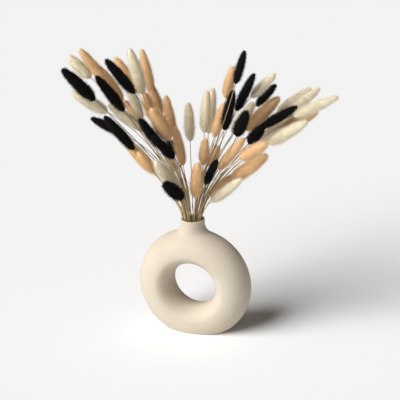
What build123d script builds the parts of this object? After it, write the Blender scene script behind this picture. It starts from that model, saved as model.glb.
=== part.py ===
from build123d import *
from math import atan2, cos, radians, sin, sqrt, tan
import os

# Ring of the vase, fullest nearer to its hole than to its outside
ring_radius = 82.0
hole_radius = 33.3
ring_depth = 59.0
crest_share = 0.3635
wall = 5.0
base_cut = 12.5
foot_round = 3.0

# Neck
neck_radius = 17.0
neck_height = 16.5
neck_flare = 15.0
mouth_bore = 14.0
lip_share = 0.48

# Tails of grass, each a thin stalk with an egg-shaped seed head
stalk_thickness = 1.2
stalk_pitch = 1.9
stalk_in_head = 5.0
bend_below_mouth = 30.0
foot_gap = 1.6
head_fullest = 0.4
head_shoulder = 0.72
head_tip = 0.95
tip_share = 0.5
bunch_forward = 2.2
bunch_turn = 20.5

# Each bunch in rows from front to back, each row from its middle outwards
# A tail has its kind, then where its head starts from the middle of the mouth: how far out, back and up
# Then come the lean of the head in degrees, the head's length and its width
left_rows = [
    [
        ("black", 22, -32, 101, 43, 60, 13),
        ("black", 13, -29, 42, 53, 68, 17),
        ("cream", 19, -23, 53, 38, 68, 18),
        ("black", 121, -69, 199, 41, 68, 16),
    ],
    [
        ("peach", 27, -27, 126, 29, 60, 20),
        ("black", 38, -33, 117, 35, 62, 13),
        ("cream", 60, -19, 138, 48, 66, 14),
        ("black", 85, -40, 173, 34, 68, 14),
        ("cream", 107, -36, 171, 54, 61, 16),
    ],
    [
        ("peach", 10, -10, 82, 10, 62, 13),
        ("black", 70, -37, 196, 36, 68, 14),
        ("cream", 63, -16, 153, 18, 60, 13),
        ("peach", 53, -10, 79, 35, 33, 13),
    ],
    [
        ("peach", 22, 0, 121, 7, 61, 14),
        ("cream", 60, 0, 183, 13, 68, 16),
        ("peach", 104, 0, 196, 35, 68, 14),
        ("black", 76, -4, 106, 37, 65, 14),
        ("peach", 51, 6, 67, 40, 62, 14),
    ],
    [
        ("black", 22, 10, 91, 21, 25, 11),
        ("peach", 48, 16, 139, 16, 44, 14),
        ("peach", 89, 24, 166, 34, 62, 16),
        ("cream", 129, 4, 208, 43, 44, 16),
        ("black", 87, 11, 122, 62, 55, 13),
    ],
    [
        ("peach", 36, 38, 142, 31, 57, 13),
        ("peach", 49, 38, 177, 14, 60, 13),
        ("peach", 68, 39, 173, 36, 60, 16),
        ("peach", 53, 25, 115, 39, 63, 13),
    ],
    [
        ("cream", 20, 26, 61, 52, 27, 11),
        ("cream", 47, 25, 56, 40, 63, 13),
    ],
]
right_rows = [
    [
        ("peach", 5, -20, 38, 17, 60, 17),
        ("black", 19, -21, 57, 29, 48, 11),
        ("black", 63, -48, 134, 25, 43, 16),
        ("peach", 67, -43, 100, 56, 52, 17),
    ],
    [
        ("black", 64, -45, 206, 18, 51, 11),
        ("black", 80, -16, 112, 40, 35, 16),
        ("cream", 106, -32, 116, 58, 66, 16),
        ("cream", 27, -14, 29, 50, 61, 14),
    ],
    [
        ("peach", 17, -9, 81, 8, 41, 13),
        ("black", 48, -17, 133, 14, 61, 14),
        ("peach", 38, -10, 74, 39, 62, 13),
        ("peach", 53, -10, 56, 54, 68, 18),
    ],
    [
        ("peach", 34, 0, 118, 18, 52, 13),
        ("black", 65, 0, 154, 27, 60, 13),
        ("black", 97, 0, 128, 61, 61, 13),
        ("cream", 143, -10, 146, 66, 68, 14),
        ("peach", 125, 10, 119, 66, 61, 13),
    ],
    [
        ("cream", 21, 13, 120, 7, 62, 14),
        ("peach", 52, 18, 167, 16, 47, 14),
        ("cream", 86, 10, 169, 48, 48, 13),
        ("peach", 77, 13, 121, 49, 68, 18),
        ("cream", 130, 18, 137, 55, 66, 14),
    ],
    [
        ("peach", 26, 22, 67, 36, 33, 13),
        ("cream", 60, 26, 113, 41, 54, 16),
        ("cream", 123, 38, 137, 61, 61, 13),
        ("cream", 98, 20, 99, 55, 66, 15),
    ],
    [
        ("cream", 1, 32, 102, 23, 56, 14),
        ("cream", 27, 38, 110, 14, 67, 14),
        ("peach", 26, 23, 22, 65, 47, 14),
        ("black", 95, 56, 142, 54, 44, 12),
    ],
]

# Heights that follow from the sizes above
ring_centre = ring_radius - base_cut
mouth_height = ring_centre + ring_radius + neck_height
half_depth = ring_depth / 2
crest_radius = hole_radius + (ring_radius - hole_radius) * crest_share
edge_round = ring_radius - crest_radius
lip_round = (neck_radius - mouth_bore) * lip_share
chamber_floor = ring_centre + hole_radius + wall
stalk_foot = chamber_floor + foot_gap
bend_height = mouth_height - bend_below_mouth

os.makedirs("parts", exist_ok=True)


def ring_profile(inset):
    """The ring's section inside its outline by an inset: two half ellipses that meet on the crest."""
    deep = half_depth - inset
    with BuildSketch(Plane.XY.offset(ring_centre)) as profile:
        with BuildLine():
            EllipticalCenterArc((crest_radius, 0), edge_round - inset, deep, -90, arc_size=180)
            EllipticalCenterArc((crest_radius, 0), crest_radius - hole_radius - inset, deep, 90, arc_size=180)
        make_face()
    return profile.sketch


ring_axis = Axis((0, 0, ring_centre), (0, 1, 0))

# Hollow chamber inside the ring and the bore of the neck
with BuildPart() as chamber:
    add(ring_profile(wall))
    revolve(axis=ring_axis)
    split(bisect_by=Plane.XY.offset(wall), keep=Keep.TOP)
    with BuildSketch(Plane.XY.offset(ring_centre + crest_radius)):
        Circle(mouth_bore)
    extrude(amount=edge_round + neck_height)

# Vase body: ring, flat base and neck
with BuildPart() as vase:
    add(ring_profile(0))
    revolve(axis=ring_axis)
    ring_edges = vase.edges()
    with BuildSketch(Plane.XY.offset(ring_centre + crest_radius)):
        Circle(neck_radius)
    extrude(amount=edge_round + neck_height)
    neck_root = (vase.edges() - ring_edges).sort_by(Axis.Z)[0]
    fillet(neck_root, neck_flare)
    split(bisect_by=Plane.XY, keep=Keep.TOP)
    fillet(vase.faces().sort_by(Axis.Z)[0].edges(), foot_round)
    add(chamber.part, mode=Mode.SUBTRACT)
    fillet(vase.faces().sort_by(Axis.Z)[-1].edges(), lip_round)

vase.part.label = "vase_body"
export_step(vase.part, "parts/vase_body.step")


def turned(out, back):
    """A place in the bunch's own plan, turned to the side that the bunch faces."""
    turn = radians(bunch_turn)
    return Vector(out * cos(turn) - back * sin(turn), out * sin(turn) + back * cos(turn))


def stalk_joint(head_base, lean):
    """Where the two arcs of a stalk meet, from straight up at its bend to the lean at its head."""
    start = Vector(0, bend_height)
    rise = Vector(0, 1)
    end = Vector(sin(lean), cos(lean))
    chord = head_base - start
    along = chord.dot(rise + end)
    spread = 2 * (1 - rise.dot(end))
    reach = (sqrt(along * along + spread * chord.dot(chord)) - along) / spread
    return (start + rise * reach + head_base - end * reach) * 0.5


def arc_middle(start, end, start_lean):
    """The middle point of an arc that leaves its start at a lean and passes through its end."""
    chord = end - start
    half_turn = atan2(chord.X, chord.Y) - start_lean
    bulge = chord.length / 2 * tan(half_turn / 2)
    across = Vector(-chord.Y, chord.X).normalized()
    return (start + end) * 0.5 + across * bulge, start_lean + 2 * half_turn


def make_tail(name, slot, place, lean, length, width):
    """One tail: a bent round stalk from the chamber's floor, with its seed head on the end."""
    run = Vector(place.X - slot.X, place.Y - slot.Y)
    heading = run.normalized()
    side_plane = Plane(origin=slot, x_dir=heading, z_dir=(heading.Y, -heading.X, 0))
    on_side = side_plane.from_local_coords
    head_base = Vector(run.length, place.Z)
    rise = Vector(sin(lean), cos(lean))
    joint = stalk_joint(head_base, lean)
    lower_middle, joint_lean = arc_middle(Vector(0, bend_height), joint, 0)
    upper_middle, _ = arc_middle(joint, head_base, joint_lean)
    head_plane = Plane(
        origin=on_side(head_base),
        x_dir=heading * sin(lean) + Vector(0, 0, cos(lean)),
        z_dir=side_plane.z_dir,
    )
    fullest = length * head_fullest
    radius = width / 2
    with BuildPart() as tail:
        with BuildLine() as path:
            Line(on_side((0, stalk_foot)), on_side((0, bend_height)))
            ThreePointArc(on_side((0, bend_height)), on_side(lower_middle), on_side(joint))
            ThreePointArc(on_side(joint), on_side(upper_middle), on_side(head_base))
            Line(on_side(head_base), on_side(head_base + rise * stalk_in_head))
        with BuildSketch(Plane(origin=(slot.X, slot.Y, stalk_foot))):
            Circle(stalk_thickness / 2)
        sweep(path=path.line)
        with BuildSketch(head_plane):
            with BuildLine():
                EllipticalCenterArc((fullest, 0), fullest, radius, 90, arc_size=90)
                Bezier(
                    (fullest, radius),
                    (length * head_shoulder, radius),
                    (length * head_tip, radius * tip_share),
                    (length, 0),
                )
                Line((0, 0), (length, 0))
            make_face()
        revolve(axis=Axis(head_plane.origin, head_plane.x_dir))
    tail.part.label = name
    export_step(tail.part, f"parts/{name}.step")


# Both bunches, the left one mirrored to its side of the middle
counts = {"cream": 0, "peach": 0, "black": 0}
for side, rows in ((-1, left_rows), (1, right_rows)):
    for row, tails in enumerate(rows):
        slot_back = (row - (len(rows) - 1) / 2) * stalk_pitch - bunch_forward
        for column, (kind, out, back, up, lean, length, width) in enumerate(tails):
            counts[kind] += 1
            slot = turned(side * (column + 0.5) * stalk_pitch, slot_back)
            place = turned(side * out, back) + Vector(0, 0, mouth_height + up)
            make_tail(f"{kind}_tail_{counts[kind]:02d}", slot, place, radians(lean), length, width)
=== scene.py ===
import math
import random

import bmesh
import bpy
from mathutils import Matrix, Quaternion, Vector


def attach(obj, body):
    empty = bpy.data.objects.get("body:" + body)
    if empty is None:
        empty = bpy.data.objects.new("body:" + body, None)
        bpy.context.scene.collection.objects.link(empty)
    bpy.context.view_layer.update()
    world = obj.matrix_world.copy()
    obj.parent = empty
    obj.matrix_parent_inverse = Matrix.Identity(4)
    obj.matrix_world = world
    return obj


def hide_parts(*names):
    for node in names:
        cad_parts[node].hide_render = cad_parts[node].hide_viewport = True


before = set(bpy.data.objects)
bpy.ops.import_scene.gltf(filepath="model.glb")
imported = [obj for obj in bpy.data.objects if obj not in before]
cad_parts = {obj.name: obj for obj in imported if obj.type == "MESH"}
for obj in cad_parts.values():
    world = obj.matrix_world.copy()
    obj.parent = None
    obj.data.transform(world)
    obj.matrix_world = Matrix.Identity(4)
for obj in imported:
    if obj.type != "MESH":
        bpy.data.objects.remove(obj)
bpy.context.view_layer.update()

bl_info = {
    "name": "Donut vase with dried grass",
    "version": (1, 0, 0),
    "blender": (4, 5, 0),
    "location": "View3D > Sidebar > Vase",
    "description": "Dresses the packed donut vase: stoneware, fluffy grass tails and a studio floor",
    "category": "Object",
}

MM = 0.001

# Where the tails stand: heights, spacing and turn of the bunch in millimetres and degrees
MOUTH_HEIGHT = 168.0
BEND_HEIGHT = MOUTH_HEIGHT - 30.0
STALK_PITCH = 1.9
BUNCH_FORWARD = 2.2
BUNCH_TURN = math.radians(20.5)

# Rows of each bunch from front to back, each row from its middle outwards
# A tail has its kind, how far out, back and up its head starts, the head's lean, length and width
LEFT_ROWS = (
    (("black", 22, -32, 101, 43, 60, 13), ("black", 13, -29, 42, 53, 68, 17),
     ("cream", 19, -23, 53, 38, 68, 18), ("black", 121, -69, 199, 41, 68, 16)),
    (("peach", 27, -27, 126, 29, 60, 20), ("black", 38, -33, 117, 35, 62, 13),
     ("cream", 60, -19, 138, 48, 66, 14), ("black", 85, -40, 173, 34, 68, 14),
     ("cream", 107, -36, 171, 54, 61, 16)),
    (("peach", 10, -10, 82, 10, 62, 13), ("black", 70, -37, 196, 36, 68, 14),
     ("cream", 63, -16, 153, 18, 60, 13), ("peach", 53, -10, 79, 35, 33, 13)),
    (("peach", 22, 0, 121, 7, 61, 14), ("cream", 60, 0, 183, 13, 68, 16),
     ("peach", 104, 0, 196, 35, 68, 14), ("black", 76, -4, 106, 37, 65, 14),
     ("peach", 51, 6, 67, 40, 62, 14)),
    (("black", 22, 10, 91, 21, 25, 11), ("peach", 48, 16, 139, 16, 44, 14),
     ("peach", 89, 24, 166, 34, 62, 16), ("cream", 129, 4, 208, 43, 44, 16),
     ("black", 87, 11, 122, 62, 55, 13)),
    (("peach", 36, 38, 142, 31, 57, 13), ("peach", 49, 38, 177, 14, 60, 13),
     ("peach", 68, 39, 173, 36, 60, 16), ("peach", 53, 25, 115, 39, 63, 13)),
    (("cream", 20, 26, 61, 52, 27, 11), ("cream", 47, 25, 56, 40, 63, 13)),
)
RIGHT_ROWS = (
    (("peach", 5, -20, 38, 17, 60, 17), ("black", 19, -21, 57, 29, 48, 11),
     ("black", 63, -48, 134, 25, 43, 16), ("peach", 67, -43, 100, 56, 52, 17)),
    (("black", 64, -45, 206, 18, 51, 11), ("black", 80, -16, 112, 40, 35, 16),
     ("cream", 106, -32, 116, 58, 66, 16), ("cream", 27, -14, 29, 50, 61, 14)),
    (("peach", 17, -9, 81, 8, 41, 13), ("black", 48, -17, 133, 14, 61, 14),
     ("peach", 38, -10, 74, 39, 62, 13), ("peach", 53, -10, 56, 54, 68, 18)),
    (("peach", 34, 0, 118, 18, 52, 13), ("black", 65, 0, 154, 27, 60, 13),
     ("black", 97, 0, 128, 61, 61, 13), ("cream", 143, -10, 146, 66, 68, 14),
     ("peach", 125, 10, 119, 66, 61, 13)),
    (("cream", 21, 13, 120, 7, 62, 14), ("peach", 52, 18, 167, 16, 47, 14),
     ("cream", 86, 10, 169, 48, 48, 13), ("peach", 77, 13, 121, 49, 68, 18),
     ("cream", 130, 18, 137, 55, 66, 14)),
    (("peach", 26, 22, 67, 36, 33, 13), ("cream", 60, 26, 113, 41, 54, 16),
     ("cream", 123, 38, 137, 61, 61, 13), ("cream", 98, 20, 99, 55, 66, 15)),
    (("cream", 1, 32, 102, 23, 56, 14), ("cream", 27, 38, 110, 14, 67, 14),
     ("peach", 26, 23, 22, 65, 47, 14), ("black", 95, 56, 142, 54, 44, 12)),
)

# Height of the stalks' feet above the base, just over the chamber's floor
FOOT_HEIGHT = 109.4

# Stalk: points in each of its arcs, sides, taper to the head and swelling at a knot
ARC_STEPS = 12
STALK_SIDES = 7
STALK_TAPER = 0.2
KNOT_SWELL = 1.35

# Head as shares of its length and width: where it is fullest, its shoulder and its rounded tip
HEAD_FULLEST = 0.4
HEAD_SHOULDER = 0.76
TIP_SHARE = 0.62

# Woolly core and hair roots as shares of the head's width and length
CORE_WIDTH = 0.88
CORE_LENGTH = 0.97
CORE_SIDES = 18
ROOT_WIDTH = 0.80
ROOT_LENGTH = 0.95

# Hair: width of an average head, lean away from the head, its loss at the tip, and scatter
AVERAGE_WIDTH = 14.0
HAIR_SPREAD = 0.8
SPREAD_LOSS = 0.35
HAIR_SCATTER = 0.28
LENGTH_LOSS = 0.4
BRISTLE_CHANCE = 0.03


class VaseLook(bpy.types.PropertyGroup):
    """Colours and finish of the stoneware."""

    clay: bpy.props.FloatVectorProperty(
        name="Clay", description="Pale matte clay", subtype="COLOR",
        default=(0.575, 0.51, 0.415))
    clay_warm: bpy.props.FloatVectorProperty(
        name="Warm clay", description="Warmer patches of the clay", subtype="COLOR",
        default=(0.555, 0.48, 0.38))
    speck: bpy.props.FloatVectorProperty(
        name="Speck", description="Fine grains in the clay", subtype="COLOR",
        default=(0.46, 0.37, 0.27))
    bare_foot: bpy.props.FloatVectorProperty(
        name="Bare foot", description="Unfinished clay under the foot and inside", subtype="COLOR",
        default=(0.52, 0.43, 0.33))
    grain_size: bpy.props.FloatProperty(
        name="Grain size", description="Size of the clay's grains", unit="LENGTH", default=0.0011)
    grain_depth: bpy.props.FloatProperty(
        name="Grain depth", description="Depth of the clay's grain", unit="LENGTH", default=0.0003)


class TailLook(bpy.types.PropertyGroup):
    """Sizes and colours of the grass tails."""

    stalk_thickness: bpy.props.FloatProperty(
        name="Stalk thickness", description="Stalk across its foot", unit="LENGTH", default=0.0013)
    hair_thickness: bpy.props.FloatProperty(
        name="Hair thickness", description="One hair across its root", unit="LENGTH", default=0.00027)
    hair_length: bpy.props.FloatProperty(
        name="Hair length", description="Hair on a head of average width", unit="LENGTH", default=0.0062)
    hairs_per_cm2: bpy.props.FloatProperty(
        name="Hairs per square centimetre", description="How dense the fluff is", default=100.0)
    # Each root colour is darker than its tip colour: painted shade deep in the fluff
    cream_root: bpy.props.FloatVectorProperty(
        name="Cream root", description="Cream fluff at its roots", subtype="COLOR",
        default=(0.98, 0.88, 0.67))
    cream_tip: bpy.props.FloatVectorProperty(
        name="Cream tip", description="Cream fluff at its tips", subtype="COLOR",
        default=(1.0, 0.96, 0.84))
    peach_root: bpy.props.FloatVectorProperty(
        name="Peach root", description="Peach fluff at its roots", subtype="COLOR",
        default=(0.93, 0.61, 0.32))
    peach_tip: bpy.props.FloatVectorProperty(
        name="Peach tip", description="Peach fluff at its tips", subtype="COLOR",
        default=(1.0, 0.82, 0.58))
    black_root: bpy.props.FloatVectorProperty(
        name="Black root", description="Black fluff at its roots", subtype="COLOR",
        default=(0.003, 0.0025, 0.0025))
    black_tip: bpy.props.FloatVectorProperty(
        name="Black tip", description="Black fluff at its tips", subtype="COLOR",
        default=(0.024, 0.019, 0.016))
    straw: bpy.props.FloatVectorProperty(
        name="Straw", description="Dried stalk", subtype="COLOR",
        default=(0.46, 0.33, 0.15))
    straw_dark: bpy.props.FloatVectorProperty(
        name="Dark straw", description="Stalk dyed along with a black head", subtype="COLOR",
        default=(0.27, 0.19, 0.10))


class StudioLook(bpy.types.PropertyGroup):
    """Camera, floor and lights."""

    eye: bpy.props.FloatVectorProperty(
        name="Camera", description="Where the camera stands", subtype="XYZ", unit="LENGTH",
        default=(0.6904, -1.8509, 0.9557))
    aim: bpy.props.FloatVectorProperty(
        name="Aim", description="Where the camera looks", subtype="XYZ", unit="LENGTH",
        default=(-0.0048, 0.0461, 0.1774))
    roll: bpy.props.FloatProperty(
        name="Roll", description="Turn of the camera about its view", subtype="ANGLE", unit="ROTATION",
        default=math.radians(-2.26))
    lens: bpy.props.FloatProperty(
        name="Lens", description="Focal length on a 36 mm sensor", default=137.15)
    floor: bpy.props.FloatVectorProperty(
        name="Floor", description="Pale floor", subtype="COLOR",
        default=(0.95, 0.95, 0.96))
    key: bpy.props.FloatProperty(
        name="Key light", description="Strength of the soft light on the left", default=4.4)
    key_from: bpy.props.FloatVectorProperty(
        name="Key from", description="Side that the soft light comes from", subtype="XYZ",
        default=(-0.80, -0.98, 1.04))
    key_softness: bpy.props.FloatProperty(
        name="Key softness", description="How wide the soft light is", subtype="ANGLE", unit="ROTATION",
        default=math.radians(46.0))
    fill: bpy.props.FloatProperty(
        name="Fill light", description="Strength of the even light from above", default=0.05)
    horizon: bpy.props.FloatProperty(
        name="Horizon", description="Strength of the pale backdrop all round", default=0.7)


def node(tree, kind, **values):
    """A node of a material with some of its sockets set."""
    made = tree.nodes.new(kind)
    for socket, value in values.items():
        made.inputs[socket].default_value = value
    return made


def start_material(name, roughness):
    """A material with its shader and its object coordinates."""
    material = bpy.data.materials.new(name)
    material.use_nodes = True
    tree = material.node_tree
    shader = tree.nodes["Principled BSDF"]
    shader.inputs["Roughness"].default_value = roughness
    place = tree.nodes.new("ShaderNodeTexCoord").outputs["Object"]
    return material, tree, shader, place


def noise(tree, place, scale, detail=3.0, stretch=None):
    """A noise pattern on the object's coordinates, stretched along the axes where asked."""
    pattern = node(tree, "ShaderNodeTexNoise", Scale=scale, Detail=detail)
    if stretch:
        mapping = node(tree, "ShaderNodeMapping", Scale=stretch)
        tree.links.new(place, mapping.inputs["Vector"])
        place = mapping.outputs["Vector"]
    tree.links.new(place, pattern.inputs["Vector"])
    return pattern.outputs["Fac"]


def ramp_range(tree, value, low, high, start=0.0, end=1.0):
    """A value's range stretched to another, with a soft start and end."""
    spread = node(tree, "ShaderNodeMapRange")
    spread.interpolation_type = "SMOOTHSTEP"
    for socket, number in (("From Min", low), ("From Max", high), ("To Min", start), ("To Max", end)):
        spread.inputs[socket].default_value = number
    tree.links.new(value, spread.inputs["Value"])
    return spread.outputs["Result"]


def mixed(tree, share, first, second):
    """Two colours mixed by a share; each is a colour or an output."""
    mix = tree.nodes.new("ShaderNodeMix")
    mix.data_type = "RGBA"
    tree.links.new(share, mix.inputs["Factor"])
    for socket, colour in ((mix.inputs[6], first), (mix.inputs[7], second)):
        if isinstance(colour, bpy.types.NodeSocket):
            tree.links.new(colour, socket)
        else:
            socket.default_value = (*colour, 1.0)
    return mix.outputs[2]


def tone_parts(tree):
    """The tone noted at each vertex, split into root to tip, shade and knot."""
    tone = tree.nodes.new("ShaderNodeVertexColor")
    tone.layer_name = "tone"
    parts = tree.nodes.new("ShaderNodeSeparateColor")
    tree.links.new(tone.outputs["Color"], parts.inputs["Color"])
    return parts


def stoneware(look):
    """Matte clay with soft clouds, fine grains, faint throwing marks and a bare foot."""
    material, tree, shader, place = start_material("matte_stoneware", 0.78)
    shader.inputs["Specular IOR Level"].default_value = 0.3
    clouds = ramp_range(tree, noise(tree, place, 22.0), 0.35, 0.7)
    clay = mixed(tree, clouds, look.clay, look.clay_warm)
    grains = ramp_range(tree, noise(tree, place, 1.0 / look.grain_size, 1.0), 0.64, 0.76, 0.0, 0.5)
    clay = mixed(tree, grains, clay, look.speck)
    height = tree.nodes.new("ShaderNodeSeparateXYZ")
    tree.links.new(place, height.inputs["Vector"])
    foot = ramp_range(tree, height.outputs["Z"], 0.0006, 0.0016, 1.0, 0.0)
    tree.links.new(mixed(tree, foot, clay, look.bare_foot), shader.inputs["Base Color"])
    tree.links.new(ramp_range(tree, clouds, 0.0, 1.0, 0.7, 0.86), shader.inputs["Roughness"])
    marks = noise(tree, place, 90.0, 2.0, (0.35, 0.35, 3.0))
    bump = node(tree, "ShaderNodeBump", Strength=0.12, Distance=look.grain_depth)
    tree.links.new(marks, bump.inputs["Height"])
    grain = node(tree, "ShaderNodeBump", Strength=0.4, Distance=look.grain_depth)
    tree.links.new(noise(tree, place, 0.8 / look.grain_size, 4.0), grain.inputs["Height"])
    tree.links.new(bump.outputs["Normal"], grain.inputs["Normal"])
    tree.links.new(grain.outputs["Normal"], shader.inputs["Normal"])
    return material


def fluff(name, root, tip):
    """Soft hair with painted shade, darker at its roots and lighter at its tips, with hairs of differing
    tone.
    """
    material, tree, shader, place = start_material(name, 0.9)
    shader.inputs["Specular IOR Level"].default_value = 0.2
    parts = tone_parts(tree)
    # Painted shade: colour runs from the darker root colour to the lighter tip colour, standing in for
    # shade deep in the fluff
    colour = mixed(tree, parts.outputs["Red"], root, tip)
    shade = tuple(c * 0.72 for c in tip)
    share = ramp_range(tree, parts.outputs["Green"], 0.0, 1.0, 0.0, 0.6)
    colour = mixed(tree, share, colour, shade)
    patches = ramp_range(tree, noise(tree, place, 130.0, 4.0), 0.35, 0.7, 0.0, 0.5)
    colour = mixed(tree, patches, colour, tuple(c * 0.85 for c in root))
    tree.links.new(colour, shader.inputs["Base Color"])
    through = tree.nodes.new("ShaderNodeBsdfTranslucent")
    tree.links.new(colour, through.inputs["Color"])
    bump = node(tree, "ShaderNodeBump", Strength=0.9, Distance=0.0015)
    tree.links.new(noise(tree, place, 420.0, 5.0), bump.inputs["Height"])
    tree.links.new(bump.outputs["Normal"], shader.inputs["Normal"])
    both = node(tree, "ShaderNodeMixShader", Fac=0.12)
    tree.links.new(shader.outputs["BSDF"], both.inputs[1])
    tree.links.new(through.outputs["BSDF"], both.inputs[2])
    tree.links.new(both.outputs["Shader"], tree.nodes["Material Output"].inputs["Surface"])
    return material


def straw(name, colour):
    """Dried stalk with fine streaks along it and darker rings at its knots."""
    material, tree, shader, place = start_material(name, 0.6)
    streaks = noise(tree, place, 1400.0, 2.0, (1.0, 1.0, 0.04))
    pale = tuple(min(1.0, c * 1.35) for c in colour)
    dark = tuple(c * 0.45 for c in colour)
    base = mixed(tree, ramp_range(tree, streaks, 0.3, 0.7), colour, pale)
    parts = tone_parts(tree)
    tree.links.new(mixed(tree, parts.outputs["Blue"], base, dark), shader.inputs["Base Color"])
    bump = node(tree, "ShaderNodeBump", Strength=0.3, Distance=0.0001)
    tree.links.new(streaks, bump.inputs["Height"])
    tree.links.new(bump.outputs["Normal"], shader.inputs["Normal"])
    return material


def turned(out, back):
    """A place in the bunch's plan, turned to the side that the bunch faces."""
    return Vector((out, back)) @ Matrix.Rotation(-BUNCH_TURN, 2)


def arc(start, end, lean, steps):
    """Points of an arc that leaves its start at a lean, each with the lean there."""
    chord = end - start
    half_turn = math.atan2(chord.x, chord.y) - lean
    radius = chord.length / (2.0 * math.sin(half_turn))
    points = []
    for step in range(1, steps + 1):
        here = lean + 2.0 * half_turn * step / steps
        swing = Vector((math.cos(lean) - math.cos(here), math.sin(here) - math.sin(lean)))
        points.append((start + swing * radius, here))
    return points


def stalk_points(reach, height, lean):
    """A stalk in its own upright plane: straight up to its bend, then two arcs to the head's lean."""
    bend = Vector((0.0, BEND_HEIGHT))
    head = Vector((reach, height))
    rise = Vector((0.0, 1.0))
    end = Vector((math.sin(lean), math.cos(lean)))
    chord = head - bend
    along = chord.dot(rise + end)
    spread = 2.0 * (1.0 - rise.dot(end))
    pull = (math.sqrt(along * along + spread * chord.length_squared) - along) / spread
    joint = (bend + rise * pull + head - end * pull) / 2.0
    lower = arc(bend, joint, 0.0, ARC_STEPS)
    upper = arc(joint, head, lower[-1][1], ARC_STEPS)
    return [(Vector((0.0, FOOT_HEIGHT)), 0.0), (bend, 0.0)] + lower + upper


def upright_frame(slot, heading, point, lean):
    """The place of a point of a stalk, with Z along the stalk there."""
    along = Vector((heading.x * math.sin(lean), heading.y * math.sin(lean), math.cos(lean)))
    side = Vector((heading.y, -heading.x, 0.0))
    across = along.cross(side)
    turn = Matrix((side, across, along)).transposed().to_4x4()
    place = Vector((slot.x + heading.x * point.x, slot.y + heading.y * point.x, point.y)) * MM
    return Matrix.Translation(place) @ turn


def draw_stalk(mesh, tone, frames, thickness, knots):
    """A round stalk drawn ring by ring along its frames, with a swollen ring at each knot."""
    first = frames[0] @ Matrix.Scale(thickness / 2.0, 4)
    made = bmesh.ops.create_circle(mesh, cap_ends=True, segments=STALK_SIDES, radius=1.0,
                                   matrix=first)
    edges = list({edge for vertex in made["verts"] for edge in vertex.link_edges})
    for vertex in made["verts"]:
        vertex[tone] = (0.0, 0.5, 0.0, 1.0)
    previous = first
    for count, place in enumerate(frames[1:], 1):
        swell = KNOT_SWELL if count in knots else 1.0 - STALK_TAPER * count / len(frames)
        following = place @ Matrix.Scale(thickness / 2.0 * swell, 4)
        drawn = bmesh.ops.extrude_edge_only(mesh, edges=edges)["geom"]
        vertices = [item for item in drawn if isinstance(item, bmesh.types.BMVert)]
        edges = [item for item in drawn if isinstance(item, bmesh.types.BMEdge)
                 and all(vertex in vertices for vertex in item.verts)]
        bmesh.ops.transform(mesh, matrix=following @ previous.inverted(), verts=vertices)
        for vertex in vertices:
            vertex[tone] = (0.0, 0.5, 1.0 if count in knots else 0.0, 1.0)
        previous = following
    bmesh.ops.edgeloop_fill(mesh, edges=edges)


def head_outline(length, width, steps=26):
    """Points of a head's outline from its foot to its tip: along its axis and out from it."""
    points = []
    for step in range(steps + 1):
        angle = math.pi / 2.0 * step / steps
        points.append((length * HEAD_FULLEST * (1.0 - math.cos(angle)), width / 2.0 * math.sin(angle)))
    for step in range(1, steps + 1):
        share = step / steps
        rest = 1.0 - share
        near, far = 3 * rest**2 * share, 3 * rest * share**2
        along = rest**3 * HEAD_FULLEST + near * HEAD_SHOULDER + far + share**3
        out = rest**3 + near + far * TIP_SHARE
        points.append((length * along, width / 2.0 * out))
    return points


def hair_shapes():
    """Hairs of unit length and radius, each with its own bend and tone."""
    shapes = []
    bends = ((0.10, 0.0), (-0.14, 0.3), (0.22, 0.6), (-0.06, 0.15), (0.05, 1.0), (0.30, 0.45))
    for sway, shade in bends:
        mesh = bmesh.new()
        tone = mesh.verts.layers.float_color.new("tone")
        # The tone's first number is painted shade along the hair: 0.3 at the root, rising to lightest at
        # the tip
        root = bmesh.ops.create_circle(mesh, cap_ends=True, segments=3, radius=1.0)["verts"]
        for vertex in root:
            vertex[tone] = (0.3, shade, 0.0, 1.0)
        edges = mesh.edges[:]
        for height, size, light in ((0.5, 0.72, 0.65), (1.0, 0.5, 1.0)):
            drawn = bmesh.ops.extrude_edge_only(mesh, edges=edges)["geom"]
            ring = [item for item in drawn if isinstance(item, bmesh.types.BMVert)]
            edges = [item for item in drawn if isinstance(item, bmesh.types.BMEdge)
                     and all(vertex in ring for vertex in item.verts)]
            bmesh.ops.translate(mesh, verts=ring, vec=(0.0, 0.0, 0.5))
            bmesh.ops.scale(mesh, verts=ring, vec=(size, size, 1.0))
            for vertex in ring:
                vertex.co.x += sway * 10.0 * height * height
                vertex[tone] = (light, shade, 0.0, 1.0)
        bmesh.ops.pointmerge(mesh, verts=ring, merge_co=sum((v.co for v in ring), Vector()) / len(ring))
        bmesh.ops.recalc_face_normals(mesh, faces=mesh.faces)
        shape = bpy.data.meshes.new("hair")
        mesh.to_mesh(shape)
        mesh.free()
        shapes.append(shape)
    return shapes


def draw_core(mesh, matrix, outline):
    """The head's woolly core, spun from its outline."""
    core = bmesh.new()
    layer = core.verts.layers.float_color.new("tone")
    line = [core.verts.new((out * CORE_WIDTH * MM, 0.0, along * CORE_LENGTH * MM))
            for along, out in outline[::2]]
    edges = [core.edges.new(pair) for pair in zip(line, line[1:])]
    bmesh.ops.spin(core, geom=line + edges, cent=(0, 0, 0), axis=(0, 0, 1), angle=2.0 * math.pi,
                   steps=CORE_SIDES, use_merge=True)
    bmesh.ops.remove_doubles(core, verts=core.verts, dist=0.01 * MM)
    bmesh.ops.recalc_face_normals(core, faces=core.faces)
    # Tone 0 gives the core the darkest root colour: painted shade beneath the hairs
    for vertex in core.verts:
        vertex[layer] = (0.0, 0.0, 0.0, 1.0)
    for face in core.faces:
        face.smooth = True
    shape = bpy.data.meshes.new("core")
    core.to_mesh(shape)
    core.free()
    shape.transform(matrix)
    mesh.from_mesh(shape, face_normals=False, vertex_normals=False)
    bpy.data.meshes.remove(shape)


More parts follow.
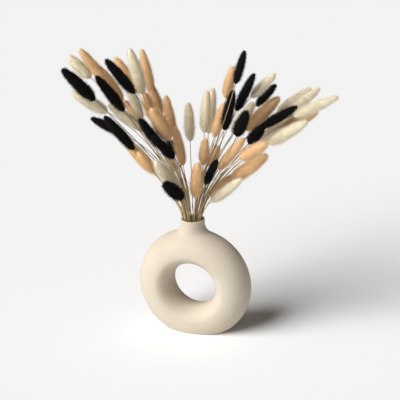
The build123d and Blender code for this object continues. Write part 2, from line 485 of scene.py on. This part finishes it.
def draw_fluff(mesh, matrix, outline, width, look, shapes, chance):
    """Hairs all over the head, swept towards its tip and longer where the head is wide."""
    spans = []
    area = 0.0
    for (along, out), (next_along, next_out) in zip(outline, outline[1:]):
        area += math.pi * (out + next_out) * math.hypot(next_along - along, next_out - out)
        spans.append(area)
    length = outline[-1][0]
    size = look.hair_length * (0.55 + 0.45 * width / AVERAGE_WIDTH)
    for _ in range(int(area / 100.0 * look.hairs_per_cm2)):
        pick = chance.random() * area
        span = next(number for number, edge in enumerate(spans) if edge >= pick)
        share = chance.random()
        along = outline[span][0] * (1.0 - share) + outline[span + 1][0] * share
        out = outline[span][1] * (1.0 - share) + outline[span + 1][1] * share
        around = chance.random() * 2.0 * math.pi
        spread = HAIR_SPREAD - SPREAD_LOSS * (along / length) ** 2.0
        aim = Vector((spread * math.cos(around), spread * math.sin(around), 1.0 - SPREAD_LOSS * spread))
        aim += Vector([chance.gauss(0.0, HAIR_SCATTER) for _ in range(3)])
        bristle = chance.random() < BRISTLE_CHANCE
        tall = size * chance.uniform(0.5, 1.25) * (1.5 if bristle else 1.0)
        tall *= 1.0 - LENGTH_LOSS * along / length
        thick = look.hair_thickness / 2.0 * (0.6 if bristle else chance.uniform(0.8, 1.15))
        inner = out * ROOT_WIDTH
        root = Vector((inner * math.cos(around), inner * math.sin(around), along * ROOT_LENGTH)) * MM
        turn = aim.to_track_quat("Z", "Y") @ Quaternion((0.0, 0.0, 1.0), chance.random() * 2.0 * math.pi)
        place = matrix @ Matrix.LocRotScale(root, turn, Vector((thick, thick, tall)))
        shape = chance.choice(shapes)
        shape.transform(place)
        mesh.from_mesh(shape, face_normals=False, vertex_normals=False)
        shape.transform(place.inverted())


def make_tail(name, body, slot, place, lean, length, width, look, shapes, materials):
    """One tail: bent stalk, woolly core and fluff, in one mesh that stands for its solid."""
    chance = random.Random(name)
    run = Vector((place.x - slot.x, place.y - slot.y))
    heading = run.normalized()
    points = stalk_points(run.length, place.z, lean)
    frames = [upright_frame(slot, heading, point, here) for point, here in points]
    outline = head_outline(length, width)
    mesh = bmesh.new()
    tone = mesh.verts.layers.float_color.new("tone")
    draw_stalk(mesh, tone, frames, look.stalk_thickness, {chance.randint(6, 10), chance.randint(15, 19)})
    for face in mesh.faces:
        face.material_index = 1
        face.smooth = True
    draw_core(mesh, frames[-1], outline)
    draw_fluff(mesh, frames[-1], outline, width, look, shapes, chance)
    data = bpy.data.meshes.new(name + "_dried")
    mesh.to_mesh(data)
    mesh.free()
    piece = bpy.data.objects.new(name + "_dried", data)
    bpy.context.scene.collection.objects.link(piece)
    for material in materials:
        data.materials.append(material)
    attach(piece, body)
    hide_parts(name)
    return piece


def make_tails(kind, look, root, tip, stalk_colour):
    """All tails of one kind, in both bunches."""
    shapes = hair_shapes()
    materials = (fluff(kind + "_fluff", root, tip), straw(kind + "_straw", stalk_colour))
    count = 0
    for body, side, rows in (("left_bunch", -1, LEFT_ROWS), ("right_bunch", 1, RIGHT_ROWS)):
        for row, tails in enumerate(rows):
            slot_back = (row - (len(rows) - 1) / 2.0) * STALK_PITCH - BUNCH_FORWARD
            for column, (tail_kind, out, back, up, lean, length, width) in enumerate(tails):
                if tail_kind != kind:
                    continue
                count += 1
                slot = turned(side * (column + 0.5) * STALK_PITCH, slot_back)
                place = turned(side * out, back).to_3d() + Vector((0.0, 0.0, MOUTH_HEIGHT + up))
                piece = make_tail(f"{kind}_tail_{count:02d}", body, slot, place, math.radians(lean),
                                  length, width, look, shapes, materials)
    for shape in shapes:
        bpy.data.meshes.remove(shape)


class VASE_OT_stoneware(bpy.types.Operator):
    """Gives the vase its matte clay"""

    bl_idname = "vase.stoneware"
    bl_label = "Finish the vase"

    def execute(self, context):
        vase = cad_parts["vase_body"]
        vase.material_slots[0].material = stoneware(context.scene.vase_look)
        return {"FINISHED"}


class VASE_OT_cream_tails(bpy.types.Operator):
    """Makes the cream tails of both bunches"""

    bl_idname = "vase.cream_tails"
    bl_label = "Cream tails"

    def execute(self, context):
        look = context.scene.tail_look
        make_tails("cream", look, look.cream_root, look.cream_tip, look.straw)
        return {"FINISHED"}


class VASE_OT_peach_tails(bpy.types.Operator):
    """Makes the peach tails of both bunches"""

    bl_idname = "vase.peach_tails"
    bl_label = "Peach tails"

    def execute(self, context):
        look = context.scene.tail_look
        make_tails("peach", look, look.peach_root, look.peach_tip, look.straw)
        return {"FINISHED"}


class VASE_OT_black_tails(bpy.types.Operator):
    """Makes the black tails of both bunches"""

    bl_idname = "vase.black_tails"
    bl_label = "Black tails"

    def execute(self, context):
        look = context.scene.tail_look
        make_tails("black", look, look.black_root, look.black_tip, look.straw_dark)
        return {"FINISHED"}


class VASE_OT_studio(bpy.types.Operator):
    """Makes the pale floor, the soft lights and the camera"""

    bl_idname = "vase.studio"
    bl_label = "Studio"

    def execute(self, context):
        scene = context.scene
        look = scene.studio_look
        mesh = bmesh.new()
        bmesh.ops.create_grid(mesh, x_segments=4, y_segments=4, size=40.0)
        data = bpy.data.meshes.new("floor")
        mesh.to_mesh(data)
        mesh.free()
        floor = bpy.data.objects.new("floor", data)
        scene.collection.objects.link(floor)
        material, tree, shader, place = start_material("pale_floor", 0.9)
        shader.inputs["Specular IOR Level"].default_value = 0.1
        soft = tuple(c * 0.985 for c in look.floor)
        clouds = mixed(tree, noise(tree, place, 3.0), look.floor, soft)
        tree.links.new(clouds, shader.inputs["Base Color"])
        data.materials.append(material)
        light = bpy.data.lights.new("key", "SUN")
        light.energy = look.key
        light.angle = look.key_softness
        light.color = (1.0, 1.0, 0.99)
        lamp = bpy.data.objects.new("key", light)
        scene.collection.objects.link(lamp)
        lamp.matrix_world = (-Vector(look.key_from)).to_track_quat("-Z", "Y").to_matrix().to_4x4()
        world = bpy.data.worlds.new("studio")
        world.use_nodes = True
        sky = world.node_tree
        backdrop = sky.nodes["Background"]
        backdrop.inputs["Color"].default_value = (1.0, 0.95, 0.88, 1.0)
        height = sky.nodes.new("ShaderNodeSeparateXYZ")
        sky.links.new(sky.nodes.new("ShaderNodeTexCoord").outputs["Generated"], height.inputs["Vector"])
        glow = ramp_range(sky, height.outputs["Z"], 0.04, 0.3, look.horizon, look.fill)
        sky.links.new(glow, backdrop.inputs["Strength"])
        scene.world = world
        scene.view_settings.view_transform = "Standard"
        camera_data = bpy.data.cameras.new("camera")
        camera_data.sensor_width = 36.0
        camera_data.lens = look.lens
        camera = bpy.data.objects.new("camera", camera_data)
        scene.collection.objects.link(camera)
        eye = Vector(look.eye)
        turn = (Vector(look.aim) - eye).to_track_quat("-Z", "Y") @ Quaternion((0.0, 0.0, 1.0), look.roll)
        camera.matrix_world = Matrix.LocRotScale(eye, turn, None)
        scene.camera = camera
        return {"FINISHED"}


class VASE_PT_panel(bpy.types.Panel):
    """Lists the steps that dress the vase"""

    bl_idname = "VASE_PT_panel"
    bl_label = "Donut vase"
    bl_space_type = "VIEW_3D"
    bl_region_type = "UI"
    bl_category = "Vase"

    def draw(self, context):
        for step in STEPS:
            self.layout.operator(step.bl_idname)
        for look in ("vase_look", "tail_look", "studio_look"):
            box = self.layout.box()
            group = getattr(context.scene, look)
            for name in group.__annotations__:
                box.prop(group, name)


STEPS = (VASE_OT_stoneware, VASE_OT_cream_tails, VASE_OT_peach_tails, VASE_OT_black_tails,
         VASE_OT_studio)
LOOKS = (("vase_look", VaseLook), ("tail_look", TailLook), ("studio_look", StudioLook))


def register():
    """Registers the property groups, the operators and the panel."""
    for name, look in LOOKS:
        bpy.utils.register_class(look)
        setattr(bpy.types.Scene, name, bpy.props.PointerProperty(type=look))
    for step in STEPS + (VASE_PT_panel,):
        bpy.utils.register_class(step)


def unregister():
    """Takes everything that register added away again."""
    for step in (VASE_PT_panel,) + STEPS[::-1]:
        bpy.utils.unregister_class(step)
    for name, look in LOOKS[::-1]:
        delattr(bpy.types.Scene, name)
        bpy.utils.unregister_class(look)


def main():
    """Dresses the vase step by step."""
    register()
    bpy.ops.vase.stoneware()
    bpy.ops.vase.cream_tails()
    bpy.ops.vase.peach_tails()
    bpy.ops.vase.black_tails()
    bpy.ops.vase.studio()


if __name__ == "__main__":
    main()
